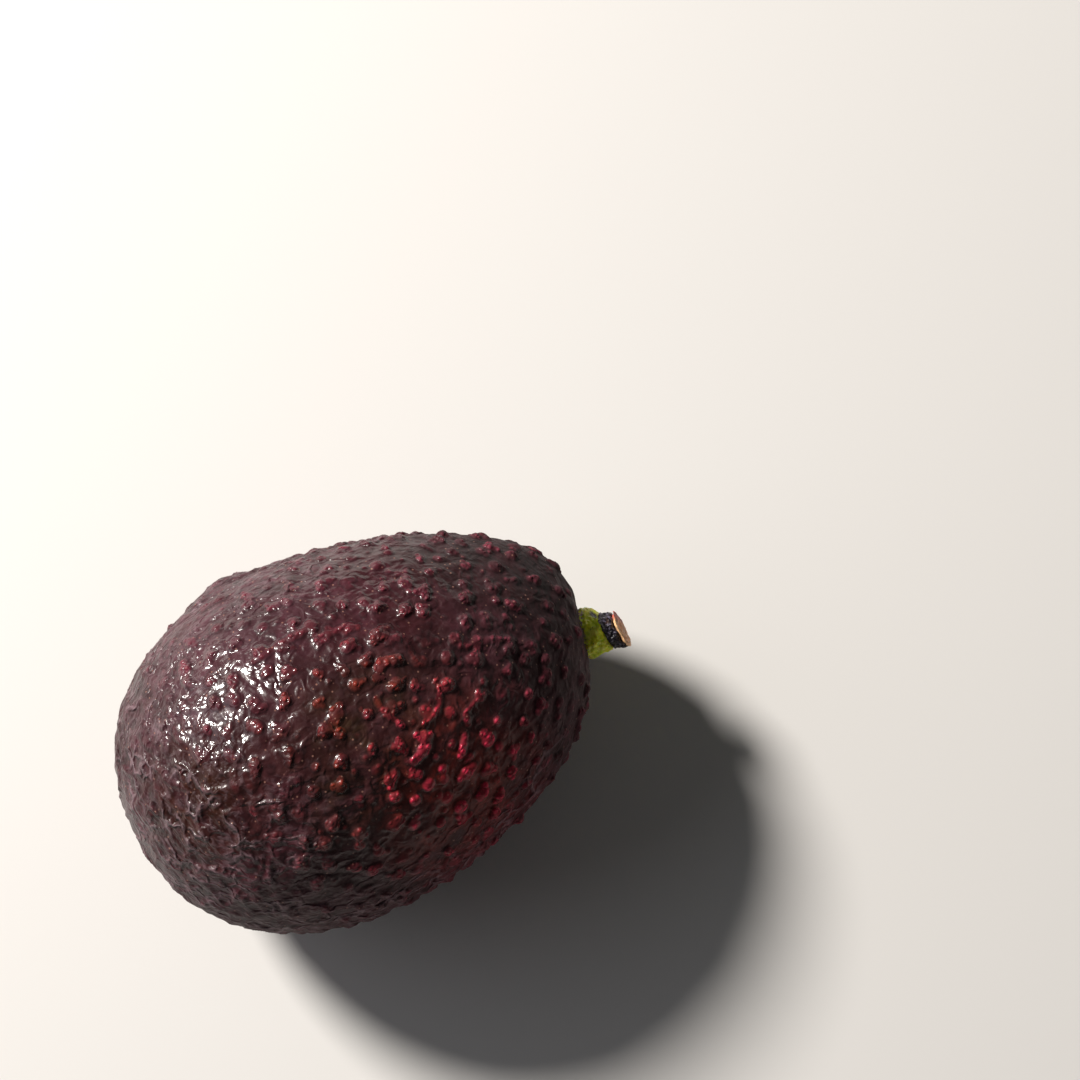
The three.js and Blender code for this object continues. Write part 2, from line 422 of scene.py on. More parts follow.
@dataclass
class WartField:
    """All domes of one size class, spread evenly over the skin and then moved a little."""

    form: BodyForm
    count: int
    radius: float
    height: float
    drift: float
    seed: int
    lowest: float = 0.45
    size_spread: float = 0.18
    welt_start: float = -12 * MM
    welt_full: float = -40 * MM
    welt_stretch: float = 0.6
    welt_thinning: float = 0.2
    welt_calm: float = 0.75
    rim_calm: float = 0.4

    def even_angles(self) -> Array:
        """Share the egg's surface out evenly.

        Returns:
            The angle phi of each dome.
        """
        phi = (np.arange(OUTLINE_STEPS) + 0.5) / OUTLINE_STEPS * math.pi
        area = self.form.radius(phi) * self.form.outline_slope(phi)
        sums = np.concatenate(([0.0], np.cumsum(area)))
        wanted = (np.arange(self.count) + 0.5) / self.count * sums[-1]
        return np.interp(wanted, sums, np.arange(OUTLINE_STEPS + 1) / OUTLINE_STEPS * math.pi)

    def spread(self) -> list[Wart]:
        """Work out every dome's place and size.

        Returns:
            The domes.
        """
        index = np.arange(self.count)
        draws = [np.array([draw(i, self.seed + use) for i in index]) for use in range(1, 7)]
        phi = self.even_angles()
        radius = np.maximum(self.form.radius(phi), self.radius)
        theta = index * GOLDEN_ANGLE + (2 * draws[1] - 1) * self.drift / radius
        phi = phi + (2 * draws[0] - 1) * self.drift / self.form.outline_slope(phi)
        points = self.form.points(phi, theta)
        along, around, _ = self.form.tangents(phi, theta)
        welt = blend_in(points[:, 0], self.welt_start, self.welt_full)
        size = self.radius * (1 + (2 * draws[2] - 1) * self.size_spread)
        height = self.height * (self.lowest + (1 - self.lowest) * draws[3])
        calm = np.maximum(self.welt_calm * welt * self.form.upper(points),
                          self.rim_calm * self.form.calm_rim(points))
        height = height * self.form.relief_share(points) * (1 - calm)
        length = size * (1 - self.welt_thinning * welt)
        width = size * (1 + self.welt_stretch * welt)
        return [Wart(*row) for row in zip(points, along, around, length, width, height, draws[5])]


@dataclass(frozen=True)
class Welt:
    """A knobbly chain of domes on the upper side, along a line seen from above."""

    line: tuple[tuple[float, float], ...]
    radius: float
    height: float
    ruddy: float

    def warts(self, form: BodyForm) -> list[Wart]:
        """Set domes along the line.

        Args:
            form: The body that the chain lies on.

        Returns:
            The domes, uneven in size.
        """
        ends = np.array(self.line) * MM
        lengths = np.linalg.norm(np.diff(ends, axis=0), axis=1) if len(ends) > 1 else np.zeros(0)
        travel = np.concatenate(([0.0], np.cumsum(lengths)))
        count = 1 + int(travel[-1] / (0.8 * self.radius * MM))
        stops = np.linspace(0, travel[-1], count)
        x, y = (np.interp(stops, travel, ends[:, axis]) for axis in (0, 1))
        phi = np.arccos(x / form.half_length)
        theta = np.arccos(np.clip(y / form.radius(phi), -1, 1))
        along, around, _ = form.tangents(phi, theta)
        size = [self.radius * MM * (0.8 + 0.45 * draw(i, 41 + count)) for i in range(count)]
        height = [self.height * MM * (0.75 + 0.5 * draw(i, 42 + count)) for i in range(count)]
        rows = zip(form.points(phi, theta), along, around, size, size, height)
        return [Wart(*row, self.ruddy) for row in rows]


class SkinRelief:
    """The heights of everything that stands on the skin, worked out vertex by vertex."""

    def __init__(self, form: BodyForm, points: Array) -> None:
        """Prepare for one mesh.

        Args:
            form: The body that the relief stands on.
            points: The mesh's vertices on the plain egg, in the body's own axes.
        """
        self.form = form
        self.points = points
        self.share = form.relief_share(points)
        self.domes = np.zeros(len(points))
        self.ruddy = np.zeros(len(points))
        self.tree = kdtree.KDTree(len(points))
        for index, point in enumerate(points):
            self.tree.insert(point, index)
        self.tree.balance()

    def add_wart(self, wart: Wart, sharpness: float = 1.0) -> None:
        """Raise one dome over what is there.

        Args:
            wart: The dome.
            sharpness: How steep its sides are.
        """
        reach = max(wart.half_along, wart.half_around)
        found = [index for _, index, _ in self.tree.find_range(wart.middle, reach)]
        if not found or wart.height <= 0:
            return
        offset = self.points[found] - wart.middle
        a = offset @ wart.along / wart.half_along
        b = offset @ wart.around / wart.half_around
        height = wart.height * np.clip(1 - a * a - b * b, 0, 1) ** sharpness
        higher = height > self.domes[found]
        places = np.array(found)[higher]
        self.domes[places] = height[higher]
        self.ruddy[places] = wart.ruddy

    @staticmethod
    def warp(place: Vector) -> Vector:
        """Give a smooth shift for a place in the pattern, the same on every run."""
        steps = (Vector((0, 0, 0)), Vector((17.3, 5.1, 9.7)), Vector((3.9, 23.3, 13.1)))
        return Vector([noise.noise(place + step) for step in steps])

    def ridges(self, cell: tuple[float, float, float], seed: float) -> Array:
        """Give a net of wavy ridges, from 0 in the pits to 1 on the crests.

        Args:
            cell: The usual size of a hollow of the net along each axis, in metres.
            seed: Where in the endless pattern the net is taken from.

        Returns:
            One number for each vertex.
        """
        shift = np.array((seed, -seed, 2 * seed))
        values = []
        for place in self.points / np.array(cell) + shift:
            warp = self.warp(Vector(place) * 0.6) * 0.6
            values.append(abs(noise.noise(Vector(place) + warp)))
        return (1 - np.clip(np.array(values) * 2.6, 0, 1)) ** 2.2

    def waves(self, grain: float, seed: float) -> Array:
        """Give soft waves from 0 to 1.

        Args:
            grain: The usual width of a wave, in metres.
            seed: Where in the endless pattern the waves are taken from.

        Returns:
            One number for each vertex.
        """
        shift = Vector((seed, seed, seed))
        values = [noise.noise(Vector(point) / grain + shift) for point in self.points]
        return np.clip(np.array(values) * 0.5 + 0.5, 0, 1)


class Shader:
    """A small helper that adds and joins the nodes of one material."""

    def __init__(self, name: str) -> None:
        """Start a material with an empty Principled surface.

        Args:
            name: The material's name.
        """
        self.material = bpy.data.materials.new(name)
        self.material.use_nodes = True
        self.tree = self.material.node_tree
        self.surface = self.tree.nodes["Principled BSDF"]
        self.place = self.add("ShaderNodeTexCoord").outputs["Object"]

    def add(self, kind: str, **settings: object) -> bpy.types.Node:
        """Add a node.

        Args:
            kind: The node's type name.
            **settings: Its own settings, by name.

        Returns:
            The new node.
        """
        node = self.tree.nodes.new(kind)
        for key, value in settings.items():
            setattr(node, key, value)
        return node

    def feed(self, socket: bpy.types.NodeSocket, value: object) -> None:
        """Join a socket to another node's output, or give it a plain value.

        Args:
            socket: The input.
            value: The other node's output, or the value.
        """
        if isinstance(value, bpy.types.NodeSocket):
            self.tree.links.new(value, socket)
        else:
            socket.default_value = value

    def attribute(self, name: str) -> bpy.types.NodeSocket:
        """Read a number that is stored on the mesh."""
        return self.add("ShaderNodeAttribute", attribute_name=name).outputs["Fac"]

    def grain(self, size: float, detail: float = 2.0, stretch: Vector | None = None,
              twist: float = 0.0) -> bpy.types.NodeSocket:
        """Add cloudy noise.

        Args:
            size: The usual width of a cloud, in metres.
            detail: How many finer layers it has.
            stretch: How much wider the clouds are along each axis.
            twist: How far the pattern is dragged about.

        Returns:
            The noise, from 0 to 1.
        """
        node = self.add("ShaderNodeTexNoise")
        self.feed(node.inputs["Vector"], self.stretched(stretch))
        node.inputs["Scale"].default_value = 1 / size
        node.inputs["Detail"].default_value = detail
        node.inputs["Distortion"].default_value = twist
        return node.outputs["Fac"]

    def grain_colour(self, size: float) -> bpy.types.NodeSocket:
        """Add noise with a value of its own for each axis.

        Args:
            size: The usual width of a cloud, in metres.

        Returns:
            The noise, from 0 to 1 on each axis.
        """
        node = self.add("ShaderNodeTexNoise")
        self.feed(node.inputs["Vector"], self.place)
        node.inputs["Scale"].default_value = 1 / size
        return node.outputs["Color"]

    def moved(self, place: bpy.types.NodeSocket, shift: bpy.types.NodeSocket,
              furthest: float) -> bpy.types.NodeSocket:
        """Move coordinates by a noise.

        Args:
            place: The coordinates.
            shift: The noise, from 0 to 1 on each axis.
            furthest: The furthest that they move, in metres.

        Returns:
            The moved coordinates.
        """
        node = self.add("ShaderNodeVectorMath", operation="MULTIPLY_ADD")
        self.feed(node.inputs[0], shift)
        node.inputs[1].default_value = (furthest, furthest, furthest)
        self.feed(node.inputs[2], place)
        return node.outputs["Vector"]

    def cells(self, size: float, measure: CellMeasure = CellMeasure.FROM_MIDDLE,
              place: bpy.types.NodeSocket | None = None) -> bpy.types.Node:
        """Add a cell pattern.

        Args:
            size: The usual width of a cell, in metres.
            measure: What the pattern tells.
            place: The coordinates it follows, in place of the object's own.

        Returns:
            The pattern's node.
        """
        node = self.add("ShaderNodeTexVoronoi", feature=measure.value)
        self.feed(node.inputs["Vector"], place or self.place)
        node.inputs["Scale"].default_value = 1 / size
        return node

    def stretched(self, stretch: Vector | None) -> bpy.types.NodeSocket:
        """Draw the object's coordinates out along its axes.

        Args:
            stretch: How much wider a pattern becomes along each axis.

        Returns:
            The coordinates.
        """
        if stretch is None:
            return self.place
        node = self.add("ShaderNodeMapping")
        self.feed(node.inputs["Vector"], self.place)
        node.inputs["Scale"].default_value = [1 / part for part in stretch]
        return node.outputs["Vector"]

    def between(self, value: bpy.types.NodeSocket, low: float, high: float,
                to_low: float = 0.0, to_high: float = 1.0) -> bpy.types.NodeSocket:
        """Map a range of a number smoothly to another range.

        Args:
            value: The number to map.
            low: The value that becomes to_low.
            high: The value that becomes to_high.
            to_low: The result at and before low.
            to_high: The result at and after high.

        Returns:
            The mapped number.
        """
        node = self.add("ShaderNodeMapRange", interpolation_type="SMOOTHSTEP")
        self.feed(node.inputs["Value"], value)
        for key, number in (("From Min", low), ("From Max", high), ("To Min", to_low),
                            ("To Max", to_high)):
            node.inputs[key].default_value = number
        return node.outputs["Result"]

    def maths(self, operation: str, first: object, second: object) -> bpy.types.NodeSocket:
        """Work out one sum of two numbers.

        Args:
            operation: The name of the sum.
            first: The first number.
            second: The second number.

        Returns:
            The result.
        """
        node = self.add("ShaderNodeMath", operation=operation)
        self.feed(node.inputs[0], first)
        self.feed(node.inputs[1], second)
        return node.outputs["Value"]

    def times(self, first: object, *others: object) -> bpy.types.NodeSocket:
        """Multiply numbers with each other.

        Args:
            first: The first number.
            *others: The other numbers.

        Returns:
            Their product.
        """
        for other in others:
            first = self.maths("MULTIPLY", first, other)
        return first

    def mix(self, share: bpy.types.NodeSocket, first: object, second: object,
            most: float = 1.0) -> bpy.types.NodeSocket:
        """Mix two colours.

        Args:
            share: How much of the second colour is taken.
            first: The colour at share 0.
            second: The colour at share 1.
            most: A number that the share is multiplied by.

        Returns:
            The mixed colour.
        """
        node = self.add("ShaderNodeMix", data_type="RGBA")
        self.feed(node.inputs[0], share if most == 1.0 else self.times(share, most))
        self.feed(node.inputs[6], first)
        self.feed(node.inputs[7], second)
        return node.outputs[2]

    def layers(self, colour: object, *coats: tuple) -> bpy.types.NodeSocket:
        """Lay colours over each other.

        Args:
            colour: The lowest colour.
            *coats: For each colour over it, the share, the colour and, where it is less
                than 1, the number that the share is multiplied by.

        Returns:
            The mixed colour.
        """
        for share, upper, *most in coats:
            colour = self.mix(share, colour, upper, *most)
        return colour

    def distance_to(self, point: Sequence[float]) -> bpy.types.NodeSocket:
        """Measure from a point of the object.

        Args:
            point: The point, in the object's own axes.

        Returns:
            The distance, in metres.
        """
        node = self.add("ShaderNodeVectorMath", operation="DISTANCE")
        self.feed(node.inputs[0], self.place)
        node.inputs[1].default_value = point
        return node.outputs["Value"]

    def bump(self, height: bpy.types.NodeSocket, depth: float,
             under: bpy.types.NodeSocket | None = None) -> bpy.types.NodeSocket:
        """Add fine relief to the light on the surface.

        Args:
            height: The relief, from 0 to 1.
            depth: How deep it is, in metres.
            under: The bump that this one stands on.

        Returns:
            The bent normal.
        """
        node = self.add("ShaderNodeBump")
        node.inputs["Strength"].default_value = 1.0
        node.inputs["Distance"].default_value = depth
        self.feed(node.inputs["Height"], height)
        if under is not None:
            self.feed(node.inputs["Normal"], under)
        return node.outputs["Normal"]

    def relief(self, *bumps: tuple[bpy.types.NodeSocket, float]) -> bpy.types.NodeSocket:
        """Lay bumps over each other.

        Args:
            *bumps: The height, from 0 to 1, and the depth in metres of each one.

        Returns:
            The bent normal.
        """
        normal = None
        for height, depth in bumps:
            normal = self.bump(height, depth, normal)
        return normal

    def cover(self, colour: object, roughness: object,
              normal: bpy.types.NodeSocket) -> bpy.types.Material:
        """Finish the surface.

        Args:
            colour: Its base colour.
            roughness: How rough it is.
            normal: Its bent normal.

        Returns:
            The material.
        """
        for key, value in (("Base Color", colour), ("Roughness", roughness), ("Normal", normal)):
            self.feed(self.surface.inputs[key], value)
        return self.material


@dataclass(frozen=True)
class Patches:
    """Cloudy patches: their width, how many finer layers they have, and their two limits."""

    size: float
    detail: float
    start: float
    full: float

    def share(self, shader: Shader) -> bpy.types.NodeSocket:
        """Give the patches' share, from 0 to 1."""
        return shader.between(shader.grain(self.size, self.detail), self.start, self.full)


@dataclass(frozen=True)
class Zone:
    """A patchy zone of the skin: its colour, middle and reach, and how strong it is."""

    colour: Colour
    at: tuple[float, float, float]
    reach: float
    most: float = 1.0
    heart: float = 0.25
    cloud: Patches = Patches(6 * MM, 2.0, 0.3, 0.6)
    faintest: float = 0.25

    def share(self, shader: Shader, wider: float = 1.0) -> bpy.types.NodeSocket:
        """Give the zone's share, most at its heart and 0 outside.

        Args:
            shader: The material to add to.
            wider: A number that its reach is multiplied by.

        Returns:
            The share.
        """
        reach = self.reach * wider
        near = shader.between(shader.distance_to(self.at), reach, reach * self.heart)
        cloudy = shader.grain(self.cloud.size, self.cloud.detail)
        patchy = shader.between(cloudy, self.cloud.start, self.cloud.full, self.faintest)
        return shader.times(near, patchy)


@dataclass(frozen=True)
class SkinFinish:
    """Waxy purple-brown skin with redder warts, an olive cast and a crimson cheek."""

    purple: Colour = linear(73, 35, 43)
    umber: Colour = linear(50, 20, 22)
    wart: Colour = linear(116, 42, 58)
    ginger: Colour = linear(142, 52, 36)
    crimson: Colour = linear(240, 40, 84)
    # Pale lilac-grey painted highlight on the wrinkle crests and the fine streaks.
    crest: Colour = linear(150, 126, 134)
    # Pale dots: lenticel pores, which also stand for painted glints.
    pale_pore_and_glint: Colour = linear(170, 124, 108)
    # Near-black painted shade, laid in creases and low places of the skin and round the stem's button.
    painted_shade: Colour = linear(10, 6, 7)
    olive: Zone = Zone(linear(56, 38, 24), (2 * MM, -12 * MM, 64 * MM), 26 * MM)
    # Lilac-grey waxy tone on the upper-left flank, partly a painted sheen where the key light falls.
    bloom_and_painted_sheen: Zone = Zone(linear(112, 78, 90), (-10 * MM, 24 * MM, 52 * MM), 30 * MM, 0.28)
    cheek: Zone = Zone(linear(130, 42, 34), (13 * MM, -25 * MM, 52 * MM), 25 * MM)
    blush: Zone = Zone(linear(126, 36, 50), (12 * MM, -32 * MM, 26 * MM), 24 * MM)
    # Near-black corner at the stem shoulder: darker skin and painted shade.
    shade: Zone = Zone(linear(30, 16, 18), (40 * MM, 14 * MM, 44 * MM), 27 * MM)
    rust: Zone = Zone(linear(56, 29, 20), (-30 * MM, -4 * MM, 60 * MM), 18 * MM)
    clouds: Patches = Patches(7 * MM, 3.0, 0.42, 0.62)
    mottle: Patches = Patches(1.0 * MM, 4.0, 0.35, 0.65)
    breaks: Patches = Patches(5 * MM, 2.0, 0.35, 0.6)
    umber_share: float = 0.7
    mottle_share: float = 0.4
    hollow_shade_share: float = 0.5
    crest_highlight_share: float = 0.42
    streak_highlight_share: float = 0.2
    crevice_shade_share: float = 0.3
    pore_and_glint_share: float = 0.55
    ripple_size: float = 2.8 * MM
    ripple_depth: float = 0.45 * MM
    wrinkle_size: float = 3.6 * MM
    wrinkle_depth: float = 0.5 * MM
    wrinkle_grain: float = 3.0 * MM
    wrinkle_drift: float = 2.2 * MM
    streak_size: float = 0.7 * MM
    streak_depth: float = 0.09 * MM
    bead_size: float = 1.25 * MM
    bead_depth: float = 0.3 * MM
    pore_size: float = 0.95 * MM
    grain_size: float = 0.5 * MM
    grain_depth: float = 0.025 * MM
    gloss_at: tuple[float, float, float] = (-17 * MM, 10 * MM, 63 * MM)
    satin_at: tuple[float, float, float] = (4 * MM, 2 * MM, 66 * MM)
    sheen_at: tuple[float, float, float] = (-14 * MM, 22 * MM, 48 * MM)
    wet: float = 0.65
    satin: float = 0.29
    dull: float = 0.03
    smoothest: float = 0.34
    roughest: float = 0.8
    specular: float = 0.24
    coat_roughness: float = 0.09
    sheen: float = 0.01
    sheen_roughness: float = 0.4
    sheen_tint: Colour = linear(205, 190, 215)

    def wrinkles(self, shader: Shader) -> tuple[bpy.types.NodeSocket, bpy.types.NodeSocket]:
        """Lay a net of thin wrinkles that lie level.

        Args:
            shader: The material to add to.

        Returns:
            How near a place lies to a crest, and how near to a hollow between crests.
        """
        shift = shader.grain_colour(self.wrinkle_grain)
        level = shader.stretched(Vector((1.7, 1.7, 0.9)))
        place = shader.moved(level, shift, self.wrinkle_drift)
        edge = shader.cells(self.wrinkle_size, CellMeasure.FROM_EDGE, place).outputs["Distance"]
        wrinkled = shader.attribute("wrinkled")
        crest = shader.times(shader.between(edge, 0.16, 0.0), self.breaks.share(shader), wrinkled)
        return crest, shader.times(shader.between(edge, 0.12, 0.4), wrinkled)

    def streaks(self, shader: Shader) -> bpy.types.NodeSocket:
        """Give fine streaks that lie level on the wrinkled skin, from 0 to 1."""
        level = shader.grain(self.streak_size, 2.0, Vector((2.5, 2.5, 1)), 0.6)
        return shader.times(shader.between(level, 0.45, 0.7), shader.attribute("wrinkled"))

    def ground(self, shader: Shader, crests: bpy.types.NodeSocket,
               hollow_shade: bpy.types.NodeSocket) -> bpy.types.NodeSocket:
        """Build up the colour of the skin between the warts, with painted shade in its low places and a
        painted highlight on its wrinkles.

        Args:
            shader: The material to add to.
            crests: Where wrinkles stand, from 0 to 1; a pale painted highlight is laid there.
            hollow_shade: Where the skin is low between them, from 0 to 1; painted shade is laid there.

        Returns:
            The colour.
        """
        # The lilac-grey zone is partly a painted sheen; the near-black zone by the stem shoulder is partly
        # painted shade.
        zones = (self.bloom_and_painted_sheen, self.cheek, self.blush, self.shade, self.rust)
        # Painted shade, up to 0.3, wherever the net of ridges runs low or is missing.
        low = shader.between(shader.attribute("crest"), 0.2, 0.0, 0.0, 0.3)
        return shader.layers(
            self.purple,
            (self.olive.share(shader), self.olive.colour),
            (self.clouds.share(shader), self.umber, self.umber_share),
            *((zone.share(shader), zone.colour, zone.most) for zone in zones),
            # Painted shade in the net's low places and on the low skin between wrinkles.
            (low, self.painted_shade),
            (hollow_shade, self.painted_shade, self.hollow_shade_share),
            # Painted highlight on the wrinkle crests.
            (shader.between(crests, 0.3, 1.0), self.crest, self.crest_highlight_share),
            (self.mottle.share(shader), self.umber, self.mottle_share),
            # Painted highlight on the fine streaks.
            (self.streaks(shader), self.crest, self.streak_highlight_share))

    def colour(self, shader: Shader, ground: bpy.types.NodeSocket,
               beads: bpy.types.NodeSocket) -> bpy.types.NodeSocket:
        """Add the warts, painted shade round their feet and in the crease round the stem, and the pale
        pores with painted glints to the ground.

        Args:
            shader: The material to add to.
            ground: The colour between the warts.
            beads: Where small beads stand, from 0 to 1.

        Returns:
            The skin's whole colour.
        """
        foot = shader.attribute("dome")
        # Painted shade in a ring round the foot of each wart.
        crevice_shade = shader.times(shader.between(foot, 0.0, 0.05), shader.between(foot, 0.22, 0.06))
        plain = shader.between(shader.attribute("wrinkled"), 0.2, 1.0, 1.0, 0.45)
        share = shader.times(shader.between(foot, 0.05, 0.42), shader.attribute("ruddy"), plain,
                             shader.between(beads, 0.0, 0.6, 0.35, 1.0))
        from_cheek = shader.distance_to(self.cheek.at)
        near = shader.between(from_cheek, self.cheek.reach * 1.15, 5 * MM)
        warts = shader.layers(self.wart, (self.olive.share(shader, 1.3), self.ginger),
                              (near, self.crimson))
        # Painted shade in the crease round the stem's button.
        seat_shade_share = shader.between(shader.attribute("painted_shade"), 0.3, 1.0)
        return self.pores_and_glints(shader, shader.layers(
            ground, (crevice_shade, self.painted_shade, self.crevice_shade_share), (share, warts), (seat_shade_share, self.painted_shade)))

    def pores_and_glints(self, shader: Shader, ground: bpy.types.NodeSocket) -> bpy.types.NodeSocket:
        """Scatter small pale pores, which also stand for painted glints, over a colour.

        Args:
            shader: The material to add to.
            ground: The colour under them.

        Returns:
            The colour with pores and painted glints.
        """
        cells = shader.cells(self.pore_size)
        parts = shader.add("ShaderNodeSeparateColor")
        shader.feed(parts.inputs["Color"], cells.outputs["Color"])
        chosen = shader.between(parts.outputs["Red"], 0.6, 0.95)
        dot = shader.between(cells.outputs["Distance"], 0.26, 0.1)
        return shader.mix(shader.times(dot, chosen), ground, self.pale_pore_and_glint, self.pore_and_glint_share)

    def wax(self, shader: Shader) -> bpy.types.NodeSocket:
        """Spread clear wax: wet at the blossom end, dull by the stem.

        Args:
            shader: The material to add to.

        Returns:
            How much of it lies on the skin.
        """
        patchy = shader.between(shader.grain(6 * MM, 3.0), 0.3, 0.7, -5 * MM, 5 * MM)
        distance = shader.maths("ADD", shader.distance_to(self.gloss_at), patchy)
        wet = shader.between(distance, 8 * MM, 15 * MM, self.wet, 0.0)
        from_satin = shader.distance_to(self.satin_at)
        satin = shader.between(from_satin, 20 * MM, 44 * MM, self.satin, self.dull)
        return shader.maths("ADD", wet, satin)

    def relief(self, shader: Shader, crests: bpy.types.NodeSocket,
               beads: bpy.types.NodeSocket) -> bpy.types.NodeSocket:
        """Lay ripples, streaks, wrinkles, beads and grain over each other.

        Args:
            shader: The material to add to.
            crests: Where wrinkles stand, from 0 to 1.
            beads: Where small beads stand, from 0 to 1.

        Returns:
            The bent normal.
        """
        knobbly = shader.times(beads, shader.between(shader.attribute("dome"), 0.05, 0.5))
        return shader.relief(
            (shader.grain(self.ripple_size, 0.6, None, 1.4), self.ripple_depth),
            (self.streaks(shader), self.streak_depth),
            (crests, self.wrinkle_depth),
            (knobbly, self.bead_depth),
            (shader.grain(self.grain_size, 1.0), self.grain_depth))

    def make(self) -> bpy.types.Material:
        """Build the material.

        Returns:
            The skin's material.
        """
        shader = Shader("avocado_skin")
        surface = shader.surface.inputs
        beads = shader.between(shader.cells(self.bead_size).outputs["Distance"], 0.62, 0.1)
        crests, hollow_shade = self.wrinkles(shader)
        ground = self.ground(shader, crests, hollow_shade)
        roughness = shader.between(shader.distance_to(self.sheen_at), 32 * MM, 62 * MM,
                                   self.smoothest, self.roughest)
        normal = self.relief(shader, crests, beads)
        for key, value in (
                ("Specular IOR Level", self.specular), ("Coat Weight", self.wax(shader)),
                ("Coat Roughness", self.coat_roughness), ("Coat Normal", normal),
                ("Sheen Weight", self.sheen), ("Sheen Roughness", self.sheen_roughness),
                ("Sheen Tint", self.sheen_tint)):
            shader.feed(surface[key], value)
        return shader.cover(self.colour(shader, ground, beads), roughness, normal)


@dataclass(frozen=True)
class ButtonFinish:
    """Knobbly yellow-green flesh of the stem's button, with dark nicks and a dry rim."""

    green: Colour = linear(240, 250, 14)
    lime: Colour = linear(255, 252, 96)
    moss: Colour = linear(196, 216, 10)
    nick: Colour = linear(30, 26, 12)
    dry: Colour = linear(150, 124, 128)
    lime_patches: Patches = Patches(1.3 * MM, 3.0, 0.42, 0.62)
    moss_patches: Patches = Patches(1.9 * MM, 2.0, 0.5, 0.66)
    nick_patches: Patches = Patches(0.7 * MM, 3.0, 0.66, 0.74)
    dry_patches: Patches = Patches(0.6 * MM, 2.0, 0.45, 0.6)
    moss_share: float = 0.8
    roughness: float = 0.42
    subsurface: float = 0.25
    subsurface_reach: float = 1.0 * MM
    lump_size: float = 1.1 * MM
    lump_depth: float = 0.35 * MM
    grain_size: float = 0.4 * MM
    grain_depth: float = 0.08 * MM

    def make(self) -> bpy.types.Material:
        """Build the material.

        Returns:
            The button's material.
        """
        shader = Shader("stem_button_green")
        nicks = shader.maths("MAXIMUM", shader.attribute("nick"), self.nick_patches.share(shader))
        rim = shader.times(shader.attribute("rim"), self.dry_patches.share(shader))
        colour = shader.layers(
            self.green,
            (self.lime_patches.share(shader), self.lime),
            (self.moss_patches.share(shader), self.moss, self.moss_share),
            (nicks, self.nick),
            (rim, self.dry))
        shader.surface.inputs["Subsurface Weight"].default_value = self.subsurface
        shader.surface.inputs["Subsurface Scale"].default_value = self.subsurface_reach
        normal = shader.relief((shader.grain(self.lump_size), self.lump_depth),
                               (shader.grain(self.grain_size), self.grain_depth))
        return shader.cover(colour, self.roughness, normal)


@dataclass(frozen=True)
class BarkFinish:
    """Nearly black, shrivelled bark whose folds carry pale grey-blue patches, a painted sheen."""

    dark: Colour = linear(24, 18, 28)
    # Pale grey-blue patches that stand for a painted sheen.
    slate_sheen: Colour = linear(120, 112, 132)
    brown: Colour = linear(60, 34, 26)
    slate_sheen_patches: Patches = Patches(0.75 * MM, 3.0, 0.53, 0.68)
    brown_patches: Patches = Patches(1.6 * MM, 2.0, 0.58, 0.7)
    roughness: float = 0.38
    lump_size: float = 0.8 * MM
    lump_depth: float = 0.3 * MM

    def make(self) -> bpy.types.Material:
        """Build the material.

        Returns:
            The bark's material.
        """
        shader = Shader("stem_bark_dark")
        colour = shader.layers(self.dark, (self.slate_sheen_patches.share(shader), self.slate_sheen),
                               (self.brown_patches.share(shader), self.brown))
        normal = shader.relief((shader.grain(self.lump_size, 3.0), self.lump_depth))
        return shader.cover(colour, self.roughness, normal)


@dataclass(frozen=True)
class WoodFinish:
    """Tan cut wood with a pale edge, darker rings and cracks, coppery at its upper end."""

    pale: Colour = linear(255, 204, 150)
    tan: Colour = linear(250, 164, 100)
    copper: Colour = linear(200, 92, 76)
    crack: Colour = linear(70, 34, 22)
    fibres: Patches = Patches(0.8 * MM, 3.0, 0.48, 0.62)
    splits: Patches = Patches(0.9 * MM, 3.0, 0.6, 0.68)
    split_share: float = 0.7
    roughness: float = 0.5
    grain_size: float = 0.4 * MM
    grain_depth: float = 0.14 * MM

    def make(self) -> bpy.types.Material:
        """Build the material.

        Returns:
            The wood's material.
        """
        shader = Shader("stem_cut_wood")
        colour = shader.layers(
            self.tan,
            (self.fibres.share(shader), self.pale),
            (shader.attribute("rim"), self.pale),
            (shader.attribute("copper"), self.copper),
            (shader.attribute("ring"), self.crack),
            (self.splits.share(shader), self.crack, self.split_share))
        normal = shader.relief((shader.grain(self.grain_size, 3.0), self.grain_depth))
        return shader.cover(colour, self.roughness, normal)


